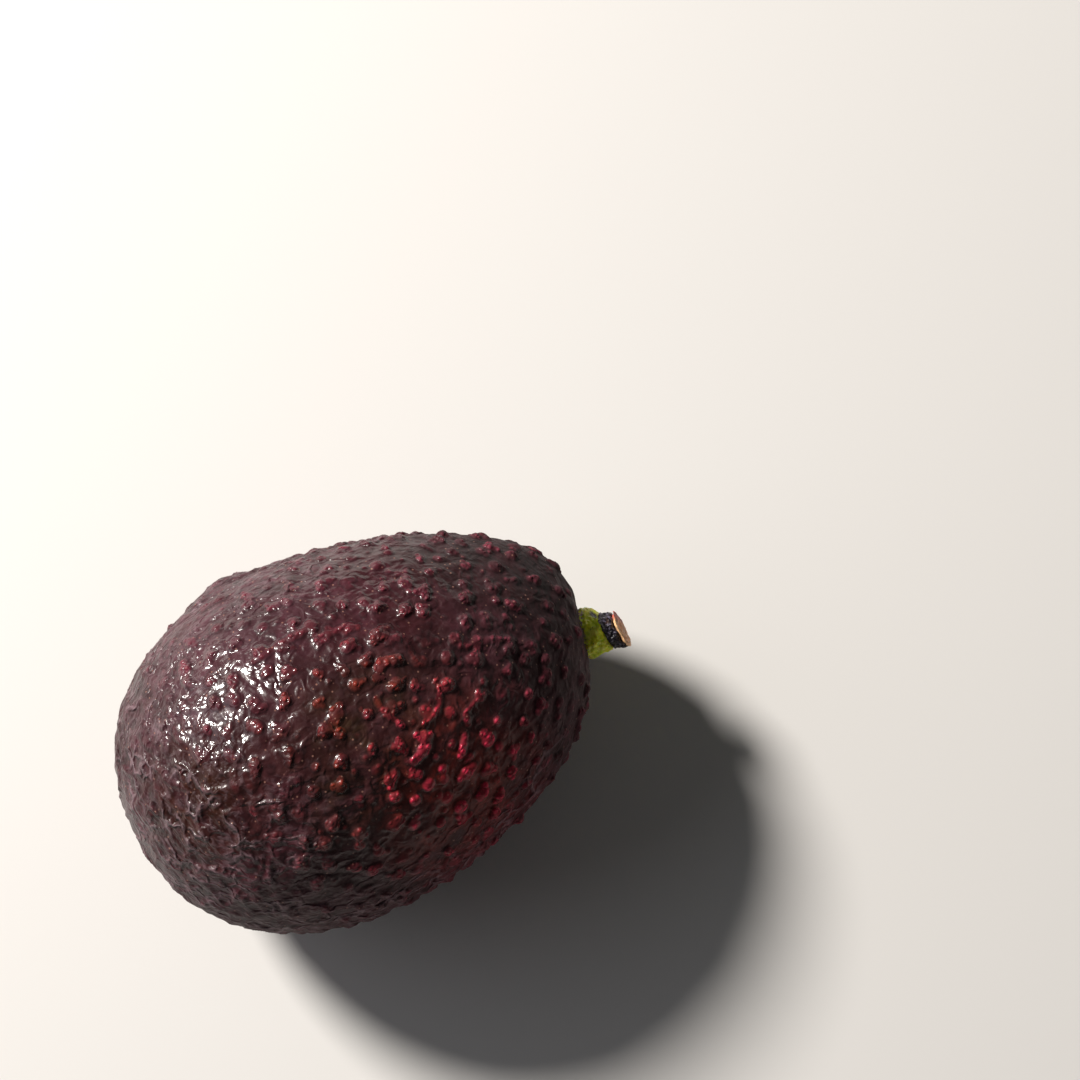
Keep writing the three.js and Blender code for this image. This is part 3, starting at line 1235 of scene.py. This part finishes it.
@dataclass
class FruitBody:
    """The whole fruit without its stem: one closed skin with all its relief."""

    form: BodyForm = field(default_factory=BodyForm)
    finish: SkinFinish = field(default_factory=SkinFinish)
    cuts: tuple[int, int] = (15, 7)
    pebble_count: int = 735
    pebble_radius: float = 1.4 * MM
    pebble_height: float = 1.05 * MM
    pebble_drift: float = 1.5 * MM
    lobe_offset: float = 0.75
    lobe_offset_spread: float = 0.3
    lobe_share: float = 0.65
    bead_count: int = 1000
    bead_radius: float = 0.85 * MM
    bead_height: float = 0.34 * MM
    bead_drift: float = 1.9 * MM
    smooth_patch: tuple[float, float, float] = (-23 * MM, 10 * MM, 30 * MM)
    smooth_reach: float = 13 * MM
    wave_grain: float = 8 * MM
    wave_height: float = 0.35 * MM
    lump_grain: float = 3.6 * MM
    lump_height: float = 0.55 * MM
    ring_cell: tuple[float, float, float] = (3.4 * MM, 6.1 * MM, 6.1 * MM)
    level_cell: tuple[float, float, float] = (7.0 * MM, 7.0 * MM, 3.2 * MM)
    ridge_height: float = 0.42 * MM
    settle: float = 0.8 * MM
    cut_threshold: float = 1e-7
    welts: tuple[Welt, ...] = (
        Welt(((-16.3, 13.5), (-13.8, 13.7), (-10, 14.1), (-5.1, 14.3)), 1.05, 0.42, 0.5),
        Welt(((-3.4, 11.7), (1.1, 11.5)), 0.95, 0.38, 0.7),
        Welt(((10.6, -5), (10.5, -6.8), (9.4, -9), (7.5, -10.3), (4.9, -10.8)), 0.75, 0.4, 1),
        Welt(((17, -9.6), (16, -11), (12.6, -12.4)), 0.7, 0.35, 1),
        Welt(((2.6, 1.6), (3.6, 2.2), (6.2, 1.5)), 1.15, 0.6, 1),
        Welt(((0.5, -15.8), (1.6, -15.4), (3.8, -14.5)), 1.35, 0.6, 1),
        Welt(((-0.8, -3.2), (-0.6, -6), (0.4, -7.6), (1.5, -9.6)), 0.8, 0.45, 1),
        Welt(((6.5, 14.2), (7.4, 13.8)), 1.5, 0.7, 0.8),
        Welt(((21.1, 2.3), (22.2, 2.6)), 1.5, 0.7, 0.9),
        Welt(((-2.8, 0.7), (-2.6, -0.4)), 1.5, 0.6, 0.8),
        Welt(((19, -1.5), (24, -2.2), (28, -3.8)), 0.9, 0.4, 0.7),
        Welt(((1.2, -20.4),), 1.5, 0.7, 1),
        Welt(((4.8, -19.1),), 1.2, 0.6, 1),
        Welt(((14.6, -16.8), (14.9, -18)), 1.4, 0.6, 1),
        Welt(((8.9, -18.3), (11.1, -15.8)), 0.95, 0.45, 0.9),
    )

    def block(self) -> bpy.types.Object:
        """Add a block and divide its faces into a fine, even grid.

        Returns:
            The divided block.
        """
        deselect_everything()
        bpy.ops.mesh.primitive_cube_add(size=2.0, location=(0, 0, 0))
        piece = bpy.context.object
        piece.name = piece.data.name = "pebbled_skin"
        with edit_mode(piece):
            for cuts in self.cuts:
                bpy.ops.mesh.subdivide(number_cuts=cuts)
        return piece

    def round_angles(self, piece: bpy.types.Object) -> tuple[Array, Array]:
        """Find where each vertex of the divided block goes on the egg.

        Args:
            piece: The divided block, with corners at 1 and -1.

        Returns:
            The angles along and round the fruit, so that the grid stays even.
        """
        grid = np.tan(coordinates(piece) * math.pi / 4)
        grid /= np.linalg.norm(grid, axis=1)[:, None]
        phi = np.arange(OUTLINE_STEPS + 1) / OUTLINE_STEPS * math.pi
        length = np.concatenate(([0.0], np.cumsum(self.form.outline_slope(phi[:-1]))))
        share = np.arccos(np.clip(grid[:, 0], -1, 1)) / math.pi
        return np.interp(share * length[-1], length, phi), np.arctan2(grid[:, 2], grid[:, 1])

    def raise_warts(self, relief: SkinRelief) -> None:
        """Raise small beads, pebbles with their lobes and welts on the skin.

        Args:
            relief: The relief to add them to.
        """
        beads = WartField(self.form, self.bead_count, self.bead_radius, self.bead_height,
                          self.bead_drift, seed=20, lowest=0.3, size_spread=0.35)
        pebbles = WartField(self.form, self.pebble_count, self.pebble_radius, self.pebble_height,
                            self.pebble_drift, seed=0, lowest=0.3, size_spread=0.25)
        for wart in beads.spread():
            if np.linalg.norm(wart.middle - np.array(self.smooth_patch)) > self.smooth_reach:
                relief.add_wart(wart)
        for index, wart in enumerate(pebbles.spread()):
            relief.add_wart(wart)
            for use in range(int(draw(index, 30) * 4)):
                turn = draw(index, 31 + use) * 2 * math.pi
                offset = self.lobe_offset + self.lobe_offset_spread * draw(index, 35 + use)
                relief.add_wart(wart.lobe(turn, offset, self.lobe_share))
        for welt in self.welts:
            for wart in welt.warts(self.form):
                relief.add_wart(wart)

    def net(self, relief: SkinRelief) -> Array:
        """Lay the net of low ridges, strongest at the blossom end and on the lower flanks.

        Args:
            relief: The relief of the same mesh.

        Returns:
            The net's height at each vertex, from 0 to 1.
        """
        x, z = self.form_shares(relief.points)
        rings = relief.ridges(self.ring_cell, seed=3.7)
        levels = relief.ridges(self.level_cell, seed=8.3)
        net = rings * x + levels * (1 - x)
        return net * self.wrinkled(relief.points) * relief.share

    @staticmethod
    def form_shares(points: Array) -> tuple[Array, Array]:
        """Give how near points lie to the blossom end and to the lower flanks."""
        low = blend_in(points[:, 2], 24 * MM, 8 * MM) * blend_in(points[:, 0], 38 * MM, 24 * MM)
        return blend_in(points[:, 0], -8 * MM, -40 * MM), low

    def wrinkled(self, points: Array) -> Array:
        """Tell how wrinkled the skin is, least on the smooth upper side.

        Args:
            points: Places on the plain egg.

        Returns:
            The share for each one, from 0 to 1.
        """
        x, z = self.form_shares(points)
        from_patch = np.linalg.norm(points - np.array(self.smooth_patch), axis=1)
        share = np.maximum(np.maximum(0.2 + 0.8 * x, z), 0.6 * self.form.calm_rim(points))
        share = share * (1 - 0.9 * bell(from_patch, self.smooth_reach * 0.7))
        return share * (0.2 + 0.8 * self.form.upper(points))

    def build(self) -> bpy.types.Object:
        """Model the skin, lay it down and cut its rest spot.

        Returns:
            The finished piece.
        """
        piece = self.block()
        phi, theta = self.round_angles(piece)
        points = self.form.points(phi, theta)
        _, _, out = self.form.tangents(phi, theta)
        relief = SkinRelief(self.form, points)
        lift = self.form.broad_lift(points) - self.settle * relief.share
        move_vertices(piece, points + out * lift[:, None])
        self.raise_warts(relief)
        net = self.net(relief)
        waves = relief.waves(self.wave_grain, seed=9.1) * self.wave_height
        lumps = relief.waves(self.lump_grain, seed=4.7) * self.lump_height
        raise_relief(piece, "waves", (waves + lumps) * relief.share)
        raise_relief(piece, "net", net * self.ridge_height)
        raise_relief(piece, "domes", relief.domes)
        paint(piece, "dome", relief.domes / self.pebble_height)
        paint(piece, "ruddy", 0.25 + 0.75 * relief.ruddy)
        paint(piece, "crest", net)
        paint(piece, "wrinkled", self.wrinkled(points) * relief.share)
        # Where painted shade lies in the crease round the stem's button.
        paint(piece, "painted_shade", self.seat_shade(points))
        self.lay_down(piece)
        dress(piece, self.finish.make(), "fruit")
        return piece

    def seat_shade(self, points: Array) -> Array:
        """Give how much painted shade lies in the crease round the stem's button."""
        distance = np.linalg.norm(points - np.array(self.form.stem_seat), axis=1)
        return blend_in(distance, 7.5 * MM, 4.5 * MM)

    def lay_down(self, piece: bpy.types.Object) -> None:
        """Turn the fruit to how it lies and cut the small flat spot under it.

        Args:
            piece: The fruit in the body's own axes.
        """
        place_by(piece, self.form.lying())
        with edit_mode(piece):
            bpy.ops.mesh.bisect(plane_co=(0, 0, 0), plane_no=(0, 0, 1), use_fill=True,
                                clear_inner=True, threshold=self.cut_threshold)
            bpy.ops.mesh.select_all(action="SELECT")
            bpy.ops.mesh.normals_make_consistent(inside=False)


@dataclass(frozen=True)
class Folds:
    """Folds round a column: how deep a share of it, how many, how far turned and twisted."""

    depth: float
    count: int
    turned: float = 0.0
    twist: float = 0.0

    def growth(self, turn: Array, height: Array) -> Array:
        """Give how much the column's radius grows, as a share of it."""
        return self.depth * np.sin(self.count * turn + self.turned + self.twist * height / MM)


@dataclass
class StemStub:
    """The stub of the stem: button, bark and cut wood, modelled upright and then laid in."""

    form: BodyForm = field(default_factory=BodyForm)
    yaw: float = math.radians(-25)
    rise: float = math.radians(14)
    skew_across: float = -0.3
    skew_up: float = -0.2
    seat_depth: float = 1.1 * MM
    gap: float = 0.3 * MM
    button_radius: float = 4.9 * MM
    button_length: float = 4.6 * MM
    bark_length: float = 2.0 * MM
    bark_radius: float = 3.5 * MM
    wood_length: float = 0.9 * MM
    wood_radius: float = 3.3 * MM
    sides: int = 24
    rounding: int = 3
    button_clouds: tuple[tuple[float, float], ...] = ((1.7 * MM, 0.9 * MM), (0.8 * MM, 0.35 * MM))
    bark_clouds: tuple[tuple[float, float], ...] = ((1.2 * MM, 0.9 * MM), (0.6 * MM, 0.4 * MM))
    wood_clouds: tuple[tuple[float, float], ...] = ((0.9 * MM, 0.4 * MM),)
    button_folds: tuple[Folds, ...] = (Folds(0.05, 3, 1), Folds(0.04, 7, twist=2))
    bark_folds: tuple[Folds, ...] = (Folds(0.05, 2), Folds(0.045, 9, twist=1))
    wood_folds: tuple[Folds, ...] = (Folds(0.07, 2, 0.6), Folds(0.05, 5))
    fold_start: float = 2 * MM
    nick_at: tuple[float, float, float] = (2.6, 2.4, 3.4)
    ring_count: int = 6
    ring_width: float = 0.45 * MM
    ring_depths: tuple[float, float] = (-0.22 * MM, 0.2 * MM)
    ring_wave: float = 0.85 * MM
    ring_share: float = 0.45

    def axes(self) -> Matrix:
        """Work out how the stem stands in the lying fruit.

        Returns:
            The matrix from the stem's own axes, with Z out along it.
        """
        heading = Vector((math.cos(self.rise) * math.cos(self.yaw),
                          math.cos(self.rise) * math.sin(self.yaw), math.sin(self.rise)))
        across = Vector((-heading.y, heading.x, 0)).normalized()
        upward = heading.cross(across)
        turn = Matrix((across, upward, heading)).transposed().to_4x4()
        return self.form.lying() @ Matrix.Translation(self.form.stem_seat) @ turn

    def column(self, name: str, rings: Sequence[tuple[float, float]]) -> bpy.types.Object:
        """Raise a closed column ring by ring from a filled circle.

        Args:
            name: The piece's name.
            rings: The radius and height of each ring, from the foot up.

        Returns:
            The closed column.
        """
        deselect_everything()
        radius, height = rings[0]
        bpy.ops.mesh.primitive_circle_add(vertices=self.sides, radius=radius, fill_type="NGON",
                                          location=(0, 0, height))
        piece = bpy.context.object
        piece.name = piece.data.name = name
        bpy.ops.object.transform_apply(location=True, rotation=True, scale=True)
        with edit_mode(piece):
            for next_radius, next_height in rings[1:]:
                bpy.ops.mesh.extrude_region_move(
                    TRANSFORM_OT_translate={"value": (0, 0, next_height - height)})
                share = next_radius / radius
                bpy.ops.transform.resize(value=(share, share, 1),
                                         center_override=(0, 0, next_height))
                radius, height = next_radius, next_height
            bpy.ops.mesh.select_all(action="SELECT")
            bpy.ops.mesh.remove_doubles(threshold=1e-6)
            bpy.ops.mesh.normals_make_consistent(inside=False)
        return piece

    def lean(self, piece: bpy.types.Object, folds: Sequence[Folds], start: float = 0.0) -> None:
        """Fold a column's side and lean its sections over.

        Args:
            piece: The upright column.
            folds: The folds of its side.
            start: The height where they reach their full depth, if they rise from the foot.
        """
        places = coordinates(piece)
        turn, height = np.arctan2(places[:, 1], places[:, 0]), places[:, 2]
        rise = np.clip(height / start, 0, 1) if start else 1.0
        places[:, :2] *= (1 + rise * sum(fold.growth(turn, height) for fold in folds))[:, None]
        share = np.clip(height / self.button_length, 0, 1)
        places[:, 2] += share * (self.skew_across * places[:, 0] + self.skew_up * places[:, 1])
        move_vertices(piece, places)

    def lay_in(self, piece: bpy.types.Object, material: bpy.types.Material, node: str) -> bpy.types.Object:
        """Put an upright column at its place on the fruit and dress it.

        Args:
            piece: The upright column.
            material: Its finish.
            node: The solid it stands for.

        Returns:
            The finished piece.
        """
        place_by(piece, self.axes())
        dress(piece, material, node)
        return piece

    def build_button(self) -> bpy.types.Object:
        """Model the swollen green button.

        Returns:
            The finished piece.
        """
        foot, top, radius = -self.seat_depth, self.button_length, self.button_radius
        rings = [(radius - 1.2 * MM, foot), (radius - 0.3 * MM, foot + 0.2 * MM),
                 (radius, 0.5 * MM), (radius - 0.1 * MM, 1.5 * MM), (4.5 * MM, 2.5 * MM),
                 (4.05 * MM, 3.5 * MM), (3.7 * MM, 4.2 * MM), (3.0 * MM, top), (1.0 * MM, top)]
        piece = self.column("green_button", rings)
        smooth_over(piece, self.rounding)
        roughen(piece, self.button_clouds)
        places = coordinates(piece)
        paint(piece, "rim", blend_in(places[:, 2], 1.6 * MM, 0.4 * MM))
        dip = np.linalg.norm(places - np.array(self.nick_at) * MM, axis=1)
        paint(piece, "nick", blend_in(dip, 1.5 * MM, 0.7 * MM))
        self.lean(piece, self.button_folds, self.fold_start)
        return self.lay_in(piece, ButtonFinish().make(), "stem_button")

    def build_bark(self) -> bpy.types.Object:
        """Model the dark, shrivelled collar.

        Returns:
            The finished piece.
        """
        foot = self.button_length
        top = foot + self.gap + self.bark_length
        radius = self.bark_radius
        rings = [(radius - 0.9 * MM, foot - 0.2 * MM), (radius - 0.1 * MM, foot),
                 (radius + 0.1 * MM, foot + 0.6 * MM), (radius - 0.4 * MM, foot + 1.1 * MM),
                 (radius - 0.1 * MM, foot + 1.7 * MM), (radius - 0.35 * MM, foot + 2.3 * MM),
                 (radius - 0.8 * MM, top), (1.0 * MM, top)]
        piece = self.column("bark_collar", rings)
        smooth_over(piece, self.rounding)
        roughen(piece, self.bark_clouds)
        self.lean(piece, self.bark_folds)
        return self.lay_in(piece, BarkFinish().make(), "stem_bark")

    def build_wood(self) -> bpy.types.Object:
        """Model the flared end of cut wood with its rings.

        Returns:
            The finished piece.
        """
        foot = self.button_length + self.bark_length + self.gap
        top = foot + self.gap + self.wood_length
        radius = self.wood_radius
        rings = [(radius - 1.0 * MM, foot - 0.1 * MM), (radius - 0.5 * MM, foot + 0.2 * MM),
                 (radius - 0.15 * MM, foot + 0.8 * MM), (radius, top - 0.2 * MM),
                 (radius - 0.25 * MM, top)]
        piece = self.column("cut_wood_end", rings)
        self.sink_rings(piece, top)
        smooth_over(piece, self.rounding)
        roughen(piece, self.wood_clouds)
        places = coordinates(piece)
        reach = np.hypot(places[:, 0], places[:, 1])
        face = blend_in(places[:, 2], top - 0.75 * MM, top - 0.4 * MM) * blend_in(
            reach, radius - 0.3 * MM, radius - 0.6 * MM)
        wave = 0.5 + 0.5 * np.cos(reach / self.ring_wave * 2 * math.pi)
        paint(piece, "ring", blend_in(wave, 0.55, 0.95) * face * self.ring_share)
        paint(piece, "rim", 1 - face)
        paint(piece, "copper", blend_in(places[:, 0], 0.8 * MM, 2.4 * MM))
        self.lean(piece, self.wood_folds)
        return self.lay_in(piece, WoodFinish().make(), "stem_wood")

    def sink_rings(self, piece: bpy.types.Object, top: float) -> None:
        """Inset the cut face again and again, each second ring a little lower.

        Args:
            piece: The upright column.
            top: The height of the cut face.
        """
        pick(piece)
        for face in piece.data.polygons:
            face.select = face.normal.z > 0.9 and face.center.z > top - 0.05 * MM
        bpy.ops.object.mode_set(mode="EDIT")
        for ring in range(self.ring_count):
            bpy.ops.mesh.inset(thickness=self.ring_width, depth=self.ring_depths[ring % 2])
        bpy.ops.object.mode_set(mode="OBJECT")

    def build(self) -> list[bpy.types.Object]:
        """Model all three pieces of the stub."""
        return [self.build_button(), self.build_bark(), self.build_wood()]


@dataclass(frozen=True)
class Lamp:
    """A soft round light: its direction from the fruit, distance, width, watts and tint."""

    name: str
    heading: tuple[float, float, float]
    distance: float
    size: float
    power: float
    tint: Colour
    aim_height: float = 0.03

    def hang(self) -> None:
        """Hang the light so that it points at the fruit."""
        data = bpy.data.lights.new(self.name, "AREA")
        data.shape = "DISK"
        data.size = self.size
        data.energy = self.power
        data.color = self.tint[:3]
        light = bpy.data.objects.new(self.name, data)
        bpy.context.scene.collection.objects.link(light)
        towards = Vector(self.heading).normalized()
        light.location = towards * self.distance + Vector((0, 0, self.aim_height))
        light.rotation_mode = "QUATERNION"
        light.rotation_quaternion = (-towards).to_track_quat("-Z", "Y")


@dataclass
class Studio:
    """A pale floor, soft lights and a camera that looks down on the fruit."""

    azimuth: float = math.radians(-29)
    elevation: float = math.radians(78)
    lens: float = 100.0
    far_clip: float = 20.0
    distance: float = 0.564
    fruit_right: float = -33.5 * MM
    fruit_up: float = -33.7 * MM
    floor_side: float = 6.0
    floor_colour: Colour = linear(224, 222, 219)
    floor_roughness: float = 0.9
    lamps: tuple[Lamp, ...] = (
        Lamp("key", (-0.335, 0.683, 0.654), 1.2, 0.26, 25.0, linear(255, 250, 244)),
        Lamp("fill", (-0.8, 0.5, 0.6), 1.5, 1.2, 3.0, linear(244, 246, 255)),
    )
    sky: float = 0.06

    def look(self) -> tuple[Vector, Vector, Vector]:
        """Work out where the camera looks.

        Returns:
            Its right, up and backward directions.
        """
        a, e = self.azimuth, self.elevation
        back = Vector((math.sin(a) * math.cos(e), -math.cos(a) * math.cos(e), math.sin(e)))
        right = Vector((math.cos(a), math.sin(a), 0))
        return right, back.cross(right), back

    def build_camera(self, middle: Vector) -> None:
        """Place the camera so that the fruit's middle lands left of and below the centre.

        Args:
            middle: The fruit's middle.
        """
        right, up, back = self.look()
        data = bpy.data.cameras.new("camera")
        data.lens = self.lens
        data.clip_end = self.far_clip
        camera = bpy.data.objects.new("camera", data)
        bpy.context.scene.collection.objects.link(camera)
        aim = middle - right * self.fruit_right - up * self.fruit_up
        camera.location = aim + back * self.distance
        camera.rotation_mode = "QUATERNION"
        camera.rotation_quaternion = (-back).to_track_quat("-Z", "Y")
        bpy.context.scene.camera = camera

    def build_floor(self) -> None:
        """Lay a plain pale floor under the fruit."""
        deselect_everything()
        bpy.ops.mesh.primitive_plane_add(size=self.floor_side, location=(0, 0, 0))
        floor = bpy.context.object
        floor.name = "floor"
        shader = Shader("pale_floor")
        shader.surface.inputs["Base Color"].default_value = self.floor_colour
        shader.surface.inputs["Roughness"].default_value = self.floor_roughness
        floor.data.materials.append(shader.material)

    def build_lights(self) -> None:
        """Hang the lights and set the soft surroundings."""
        for lamp in self.lamps:
            lamp.hang()
        world = bpy.data.worlds.new("surroundings")
        world.use_nodes = True
        background = world.node_tree.nodes["Background"].inputs
        background["Color"].default_value = (1, 1, 1, 1)
        background["Strength"].default_value = self.sky
        bpy.context.scene.world = world
        bpy.context.scene.view_settings.view_transform = "Standard"

    def build(self, middle: Vector) -> None:
        """Set up the floor, the lights and the camera.

        Args:
            middle: The fruit's middle.
        """
        self.build_floor()
        self.build_lights()
        self.build_camera(middle)


def report(piece: bpy.types.Object) -> None:
    """Say what a piece is called and how many faces it has."""
    log.info("%s has %d faces", piece.name, len(piece.data.polygons))


def main() -> None:
    """Build every piece of the fruit and the studio around it."""
    logging.basicConfig(level=logging.INFO, format="%(name)s: %(message)s")
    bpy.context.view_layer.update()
    fruit = FruitBody()
    report(fruit.build())
    for piece in StemStub(form=fruit.form).build():
        report(piece)
    Studio().build(Vector(fruit.form.middle))


if __name__ == "__main__":
    main()
